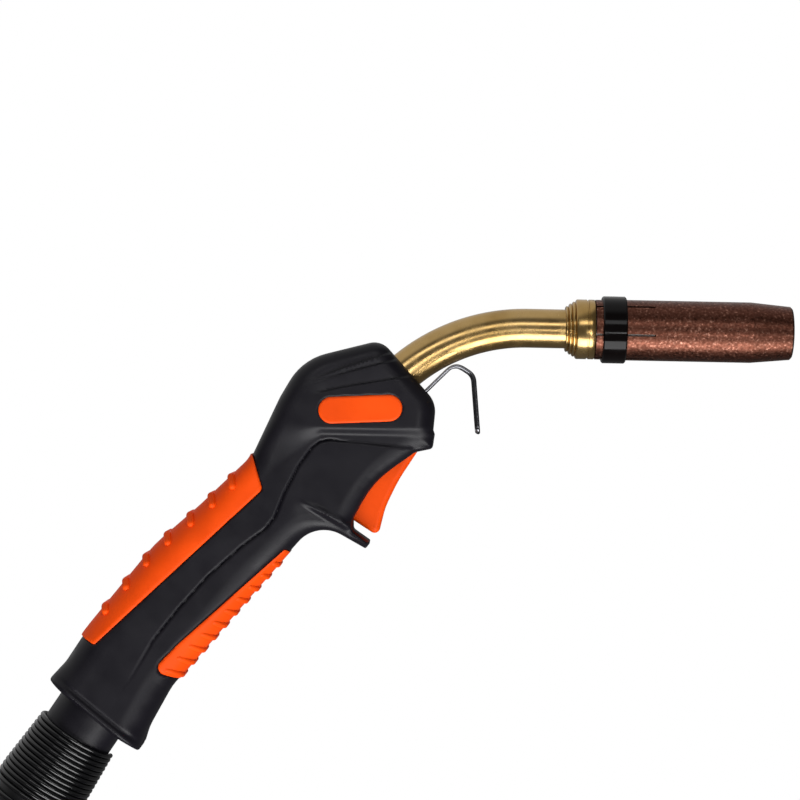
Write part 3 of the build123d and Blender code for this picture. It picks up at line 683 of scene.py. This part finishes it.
def bores(points):
    """Height of what is cut out along the middle plane: neck, swivel mouth and trigger window."""
    side = np.array((-NECK_LINE[1], NECK_LINE[0]))
    away = points - NECK_TAIL
    forward = away @ NECK_LINE
    neck = np.sqrt(np.maximum(0, NECK_HOLE_R**2 - (away @ side) ** 2)) * (forward > -60)
    away = points - BALL
    across = away @ np.array((-RIM_LINE[1], RIM_LINE[0]))
    out = np.clip(away @ RIM_LINE, 0, 30)
    beyond = np.maximum(np.maximum(across - 0.33 * out, -across - 0.05 * out), 0)
    mouth = np.sqrt(np.maximum(0, MOUTH_R**2 - beyond**2)) * (out > 0)
    window, _ = depth(points, WINDOW)
    return np.maximum(np.maximum(neck, mouth), np.where(window > 0, WINDOW_HALF, 0))


def hollow(points):
    """The shells' inside, a wall's thickness from the outside, with a hair's gap along the parting."""
    gap, _ = depth(points, HANDLE)
    rise = np.sin(np.clip((gap - WALL) / 10.0, 0, 1) * math.pi / 2)
    return np.maximum(np.maximum((side_height(points) - SIDE_WALL) * rise, bores(points)), PARTING_GAP)


def shell_surface(points):
    """The shells' outside, with beds for the inserts and the badge; creases get points of their own."""
    moved = spread(points, 0)
    crests = [PANEL_EDGE, CAP_EDGE[3:]]
    for line in (BROW_UPPER, BROW_LOWER, BROW_PANEL):
        crests += [line, np.array(line) + CREASE * np.array((0.3, -0.95))]
    crests += [REAR_EDGE - RIM_LINE * inward for inward in (LIP_AT, LIP_GROOVE_AT)]
    inner, _ = depth(points, HANDLE)
    moved = np.where((inner > CELL)[:, None], snap(moved, crests), moved)
    height = height_at(moved)
    height = height - INSERT_BED * ramp(in_inserts(moved, 0.45) / 0.5)
    height = height - BADGE_BED * ramp((badge_depth(moved) + 0.35) / 0.3)
    return moved, height


def screw_gap(points):
    """Distance outside the nearest screw well."""
    gaps = [np.linalg.norm(points - np.array(well), axis=1) - SCREW_WELL_R for well in SCREW_PLACES]
    return np.min(gaps, axis=0)


def build_shells():
    """Two shells that meet on the middle plane. The right one has the screw wells."""
    for name, side in (("left", 1), ("right", -1)):
        def region(points):
            gap, _ = depth(points, HANDLE)
            return gap if side > 0 else np.minimum(gap, screw_gap(points))

        half = half_solid(region, shell_surface, hollow, HANDLE_FIELD, side)
        finished(f"torch_shell_{name}", [half], "black_plastic", "handle", [f"handle_shell_{name}"])


NUB_COUNT = 7
NUB_R = 1.8
TOP_PROUD = 1.0  # how far each insert stands proud of the shells
RIB_COUNT = 10
RIB_PITCH = 7.45
RIB_R = 1.6
LOW_PROUD = 0.35


def edge_place(along, upper):
    """Where the handle's upper or lower edge is, by the distance along the grip from the ball."""
    up = np.array((-GRIP_LINE[1], GRIP_LINE[0])) * (1 if upper else -1)
    steps = np.linspace(5, 45, 401)
    points = BALL + GRIP_LINE * along + up * steps[:, None]
    return points[inside(points, HANDLE)][-1]


def rib(start, direction, length, radius, proud, sink=0.0):
    """A moulded rib from one side of the grip, over its edge, to the other side; its ends sink in."""
    inward = unit(np.array(direction, float))
    steps = np.concatenate((np.linspace(length, 0.8, 10), (0.4, 0.15, 0.0)))
    points = start + inward * steps[:, None]
    heights = height_at(points, proud) - sink * steps / length
    over = [(x, y, MID_Z + z) for (x, y), z in zip(points, heights)]
    under = [(x, y, MID_Z - z) for (x, y), z in zip(points[::-1], heights[::-1])]
    path = np.array(over + under)
    travelled = np.concatenate(((0,), np.cumsum(np.linalg.norm(np.diff(path, axis=0), axis=1))))
    from_end = np.minimum(travelled, travelled[-1] - travelled)
    rounding = np.sqrt(np.maximum(0, 1 - np.maximum(0, 1 - from_end / radius) ** 2))
    return tube_mesh(path, radius * np.maximum(rounding, 0.05), 14)


def insert_pieces(name, outline, replaced, ribs, proud, box):
    """A soft skin wrapped round the grip's edge, standing proud of the shells, with its ribs."""
    def region(points):
        gap, _ = depth(points, HANDLE)
        edge, _ = depth(spread(points, proud), outline)
        return np.minimum(gap + proud, edge)

    def surface(points):
        moved = spread(points, proud)
        edge, _ = depth(moved, outline)
        crown = 0.35 - 0.7 * (1 - np.sin(np.clip(edge / 1.0, 0, 1) * math.pi / 2))
        return moved, height_at(moved, proud) + crown

    def under(points):
        gap, _ = depth(points, HANDLE)
        return np.where(gap > 0.3, height_at(points) - 1.25, 0)

    halves = []
    for side in (1, -1):
        def cut(points):
            return region(points) if side > 0 else np.minimum(region(points), screw_gap(points))

        halves.append(half_solid(cut, surface, under, box, side, welded=True))
    finished(name, halves + ribs, "orange_soft", "handle", replaced)


def build_inserts():
    """The bumps and ribs lean across the grip and grow or shrink along it."""
    nubs = []
    for number in range(NUB_COUNT):
        start = edge_place(22.6 + 15.1 * number - 0.22 * number**2, True) + np.array((0.1, 0.5))
        nubs.append(rib(start, (0.18, -0.98), 3.6 + 0.38 * number, NUB_R, 1.5))
    box = ((-144, -30), (-38, 84))
    insert_pieces("top_grip_skin", TOP_INSERT, ["top_grip_insert"], nubs, TOP_PROUD, box)
    ribs = []
    for number in range(RIB_COUNT):
        start = edge_place(21.3 + RIB_PITCH * number, False) + np.array((-0.3, 0.1))
        ribs.append(rib(start, (-0.92, 0.38), 8.8 - 0.62 * number, RIB_R, 0.0, 1.0))
    box = ((-100, -40), (-20, 40))
    insert_pieces("lower_grip_pad", LOWER_PAD, ["lower_grip_insert"], ribs, LOW_PROUD, box)


def build_badges():
    box = ((-24, 86), (24, 108))
    for name, side in (("left", 1), ("right", -1)):
        def surface(points):
            edge = np.clip(badge_depth(points) / BADGE_EDGE, 0, 1)
            return points, BADGE_SIDE + 0.5 * np.sin(edge * math.pi / 2)

        def under(points):
            return np.full(len(points), BADGE_BACK)

        mesh = half_solid(badge_depth, surface, under, box, side)
        finished(f"blank_badge_{name}", [mesh], "orange_plastic", "handle", [f"badge_{name}"])


def build_trigger():
    """The trigger lever, rounded along both its side edges."""
    def region(points):
        return depth(points, TRIGGER)[0]

    def surface(points):
        gap, foot = depth(points, TRIGGER)
        radius = TRIGGER_ROUNDING
        angle = np.clip(gap / radius, 0, 1) * math.pi / 2
        away = foot - points
        length = np.maximum(np.linalg.norm(away, axis=1), 1e-9)
        slide = np.where(gap < radius, gap - radius * (1 - np.cos(angle)), 0)
        return points + away / length[:, None] * slide[:, None], TRIGGER_WALL + radius * np.sin(angle)

    def under(points):
        return np.zeros(len(points))

    box = ((-12, 34), (34, 94))
    halves = [half_solid(region, surface, under, box, side, welded=True) for side in (1, -1)]
    finished("trigger_lever", halves, "orange_plastic", "trigger", ["trigger"])


# --- neck and hook ---
NECK_Y = 135.3
NECK_R = 9.0
NECK_BORE_R = 7.6
BEND_X = 77.0
BEND_R = 86.0
HOOK_R = 0.85
COLLAR_PROFILE = (
    (94.3, 9.02), (94.3, 10.1), (94.7, 10.6), (95.2, 10.6), (95.6, 10.2), (95.9, 11.3), (96.3, 11.8),
    (96.8, 11.8), (97.2, 11.4), (97.5, 12.3), (97.9, 12.7), (98.4, 12.7), (98.8, 12.3), (99.1, 13.4),
    (99.6, 13.8), (104.1, 13.8), (104.3, 13.35), (104.8, 13.35), (105.0, 13.8), (107.5, 13.8),
    (108.0, 13.3), (108.0, 9.02),
)


def build_neck():
    """The bent tube, and the stepped collar on its front."""
    path = [(x, NECK_Y, MID_Z) for x in np.linspace(97.5, BEND_X, 6)]
    for degrees in np.linspace(0, 40, 41)[1:]:
        angle = math.radians(degrees)
        path.append((BEND_X - BEND_R * math.sin(angle), NECK_Y - BEND_R * (1 - math.cos(angle)), MID_Z))
    for back in np.linspace(0, 45, 10)[1:]:
        path.append((NECK_TAIL[0] - NECK_LINE[0] * back, NECK_TAIL[1] - NECK_LINE[1] * back, MID_Z))
    neck = tube_mesh(path, [NECK_R] * len(path), 96, NECK_BORE_R)
    finished("bent_neck", [neck], "brass", "handle", ["swan_neck"])
    collar = lathe_mesh(COLLAR_PROFILE, (0.0, NECK_Y), (1.0, 0.0), 96)
    finished("stepped_collar", [collar], "brass", "handle", ["neck_collar"])


def build_hook():
    """Two legs of bent wire in front of the head, joined at their tips."""
    leg = ((27.0, 101.7), (43.5, 118.4), (52.3, 113.0), (54.8, 86.7))
    points = [(x, y, MID_Z + 14) for x, y in leg] + [(x, y, MID_Z - 14) for x, y in reversed(leg)]
    path = bent_path(points, (6, 6, 3, 3, 6, 6))
    wire = tube_mesh(path, [HOOK_R] * len(path), 16)
    finished("hook_wire", [wire], "steel_wire", "handle", ["hanging_hook"])


# --- cable guard ---
GUARD_START = 31.0
GUARD_END = 131.0
WIRE_R = 1.15


def guard_pitch(turn):
    """Distance between the spring's turns: wound close, opening in two stages, closed at the end."""
    stages = (0, 14, 14.6, 16.6, 17.4, 21.4, 22.2, 24)
    return np.interp(turn, stages, (2.36, 2.36, 5.4, 5.4, 10.2, 10.2, 2.36, 2.36))


def build_guard_spring():
    """The spring wound round the cable's boot, a little wider towards the cable."""
    turns_each = 64
    t = GUARD_START + WIRE_R
    turn = 0.0
    path = []
    across = np.array((-GUARD_LINE[1], GUARD_LINE[0]))
    while t < GUARD_END - WIRE_R:
        radius = np.interp(t, (GUARD_START, 60), (17.0, 19.0)) + WIRE_R + 0.02
        angle = turn * math.tau
        at = BALL + GUARD_LINE * t + across * radius * math.cos(angle)
        path.append((at[0], at[1], MID_Z + radius * math.sin(angle)))
        turn += 1 / turns_each
        t += guard_pitch(turn) / turns_each
    wire = tube_mesh(path, [WIRE_R] * len(path), 14)
    finished("guard_spring_wire", [wire], "spring_black", "cable", ["guard_spring"])


# --- cable ---
CABLE_D = 24.0
COIL_CENTRE = (-70.0, -290.0)
COIL_R = 145.0  # the outer turns; the inner ones lie a cable's width inside them
TURN_PITCH = 25.0
LEAD_POINTS = (
    (-174.3, -128.5, 22.0), (-192.8, -157.0, 21.5), (-205.0, -187.0, 17.0), (-212.0, -220.0, 12.5),
    (-215.3, -254.0, 12.0), (-215.0, -288.0, 12.0), (-211.5, -318.0, 12.0),
)
TAIL_POINTS = (
    (-100.0, -431.8, 36.0), (-70.0, -435.0, 36.2), (-38.0, -435.4, 36.6), (-10.0, -435.0, 35.0),
    (12.0, -435.0, 27.0), (30.0, -435.0, 24.0), (48.0, -435.0, 24.0),
)
TIE_ANGLES = (25.0, 120.0, 230.0)
TIE_WIDTH = 20.0
TIE_THICKNESS = 1.15
TIE_LOWEST = -0.6


def coil_place(degrees):
    """Place on the coil by the angle wound so far: two turns side by side, then two on top."""
    inward = float(ramp((degrees - 440) / 100) - ramp((degrees - 1040) / 80))
    radius = COIL_R - TURN_PITCH * inward
    height = CABLE_D / 2 + CABLE_D * float(ramp((degrees - 740) / 60))
    angle = math.radians(degrees)
    return (COIL_CENTRE[0] + radius * math.cos(angle), COIL_CENTRE[1] + radius * math.sin(angle), height)


def cable_points():
    """The cable's route: from the guard, round the coil and out to the plug."""
    coil = [coil_place(degrees) for degrees in range(210, 1311, 20)]
    return [*LEAD_POINTS, *coil, *TAIL_POINTS]


def build_cable():
    curve = bpy.data.curves.new("torch_cable", "CURVE")
    curve.dimensions = "3D"
    spline = curve.splines.new("NURBS")
    points = cable_points()
    spline.points.add(len(points) - 1)
    for point, place_at in zip(spline.points, points):
        point.co = (*(Vector(place_at) * MM), 1)
    spline.order_u = 3
    spline.use_endpoint_u = True
    spline.resolution_u = 8
    curve.bevel_depth = CABLE_D / 2 * MM
    curve.bevel_resolution = 8
    curve.use_fill_caps = True
    piece = bpy.data.objects.new("torch_cable", curve)
    return place(piece, "cable_rubber", "cable", ["cable_lead", "cable_coil", "cable_tail"])


def tie_ring(degrees, grow):
    """Outline round every turn that passes an angle of the coil: (distance out, height) points."""
    centres = []
    for turn in range(4):
        wound = degrees + 360 * turn
        if 190 <= wound <= 1340:
            x, y, z = coil_place(wound)
            centres.append((math.hypot(x - COIL_CENTRE[0], y - COIL_CENTRE[1]), z))
    ring = []
    for number in range(72):
        angle = math.tau * number / 72
        out = np.array((math.cos(angle), math.sin(angle)))
        best = max(centres, key=lambda centre: centre[0] * out[0] + centre[1] * out[1])
        radius, height = np.array(best) + out * (CABLE_D / 2 + grow)
        ring.append((radius, max(height, 0.15 if grow < 0.5 else TIE_LOWEST)))
    return ring


def build_tie(number, degrees):
    """A flat cloth band closed round the turns."""
    mesh = bmesh.new()
    half_angle = math.degrees(TIE_WIDTH / 2 / 132.0)
    stations = np.linspace(-half_angle, half_angle, 7)
    loops = []
    for station in stations:
        edge = 0.25 * abs(station) / half_angle
        pair = []
        for grow in (0.1, TIE_THICKNESS - edge):
            ring = []
            angle = math.radians(degrees + station)
            for radius, height in tie_ring(degrees + station * 0.2, grow):
                x = COIL_CENTRE[0] + radius * math.cos(angle)
                y = COIL_CENTRE[1] + radius * math.sin(angle)
                ring.append(mesh.verts.new((x * MM, y * MM, height * MM)))
            pair.append(ring)
        loops.append(pair)
    count = len(loops[0][0])
    for first, second in zip(loops, loops[1:]):
        for here in range(count):
            after = (here + 1) % count
            mesh.faces.new((first[0][here], first[0][after], second[0][after], second[0][here]))
            mesh.faces.new((first[1][after], first[1][here], second[1][here], second[1][after]))
    for loop, order in ((loops[0], 1), (loops[-1], -1)):
        for here in range(count):
            after = (here + 1) % count
            corners = (loop[0][here], loop[1][here], loop[1][after], loop[0][after])
            mesh.faces.new(corners[::order])
    bmesh.ops.recalc_face_normals(mesh, faces=mesh.faces[:])
    replaced = ["coil_ties"] if number == 0 else []
    return finished(f"coil_tie_{number + 1}", [mesh], "strap", "cable", replaced)


# --- stage, lights and camera ---
FLOOR_Z = -0.9  # just under the coil's bands
TARGET = Vector((0.03, 0.06, 0.02))  # where the lights point
OVER = (0.0186, 0.1009)  # where the camera hangs, over the torch's bend
CAMERA_HEIGHT = 1.25
CAMERA_TURN = math.radians(1.15)


def build_floor():
    """A plain white table that lights nothing and isn't mirrored in the torch."""
    mesh = bmesh.new()
    bmesh.ops.create_grid(mesh, x_segments=1, y_segments=1, size=4.0)
    data = bpy.data.meshes.new("table")
    mesh.to_mesh(data)
    mesh.free()
    floor = bpy.data.objects.new("table", data)
    floor.location = (0, 0, FLOOR_Z * MM)
    bpy.context.scene.collection.objects.link(floor)
    material = blank_material("table_white", (0, 0, 0), 1.0, specular=0.0)
    shader = material.node_tree.nodes["Principled BSDF"]
    shader.inputs["Emission Color"].default_value = (1, 1, 1, 1)
    shader.inputs["Emission Strength"].default_value = 1.0
    data.materials.append(material)
    floor.visible_diffuse = False
    floor.visible_glossy = False


def softbox(name, tilt, azimuth, distance, size, radiance):
    """A rectangular light facing the torch, by its tilt from overhead and its compass angle."""
    lean, turn = math.radians(tilt), math.radians(azimuth)
    out = Vector((math.sin(lean) * math.cos(turn), math.sin(lean) * math.sin(turn), math.cos(lean)))
    light = bpy.data.lights.new(name, "AREA")
    light.shape = "RECTANGLE"
    light.size, light.size_y = size
    light.energy = radiance * math.pi * size[0] * size[1]
    lamp = bpy.data.objects.new(name, light)
    lamp.location = TARGET + out * distance
    lamp.rotation_euler = out.to_track_quat("Z", "Y").to_euler()
    bpy.context.scene.collection.objects.link(lamp)


def build_lights():
    softbox("softbox_front", 54, -90, 1.25, (1.5, 0.7), 6.8)
    softbox("softbox_back", 28, 90, 1.25, (1.2, 0.26), 3.0)
    softbox("strip_right", 20, -33, 1.25, (0.14, 0.4), 12.0)
    scene = bpy.context.scene
    scene.world = studio_world()
    scene.view_settings.view_transform = "Standard"


def studio_world():
    """A dim room with a bright wall low behind the torch."""
    world = bpy.data.worlds.new("studio")
    world.use_nodes = True
    tree = world.node_tree
    direction = tree.nodes.new("ShaderNodeTexCoord")
    facing = tree.nodes.new("ShaderNodeVectorMath")
    facing.operation = "DOT_PRODUCT"
    facing.inputs[1].default_value = (-0.35, 0.86, -0.37)
    spread_of = tree.nodes.new("ShaderNodeMapRange")
    spread_of.interpolation_type = "SMOOTHSTEP"
    for socket, value in zip(("From Min", "From Max", "To Min", "To Max"), (0.42, 0.72, 0.12, 0.7)):
        spread_of.inputs[socket].default_value = value
    tree.links.new(direction.outputs["Generated"], facing.inputs[0])
    tree.links.new(facing.outputs["Value"], spread_of.inputs["Value"])
    tree.links.new(spread_of.outputs["Result"], tree.nodes["Background"].inputs["Strength"])
    tree.nodes["Background"].inputs["Color"].default_value = (1, 1, 1, 1)
    return world


def build_camera():
    """Straight down on the torch, turned a little."""
    data = bpy.data.cameras.new("camera")
    data.lens = 121.5
    data.sensor_width = 36.0
    camera = bpy.data.objects.new("camera", data)
    camera.location = (*OVER, CAMERA_HEIGHT + MID_Z * MM)
    camera.rotation_euler = (0, 0, CAMERA_TURN)
    bpy.context.scene.collection.objects.link(camera)
    bpy.context.scene.camera = camera


def build():
    build_camera()
    build_floor()
    build_lights()
    dress_cad_nodes()
    cable = build_cable()
    ties = [build_tie(number, degrees) for number, degrees in enumerate(TIE_ANGLES)]
    build_shells()
    build_inserts()
    build_badges()
    build_trigger()
    build_neck()
    build_hook()
    build_guard_spring()


build()
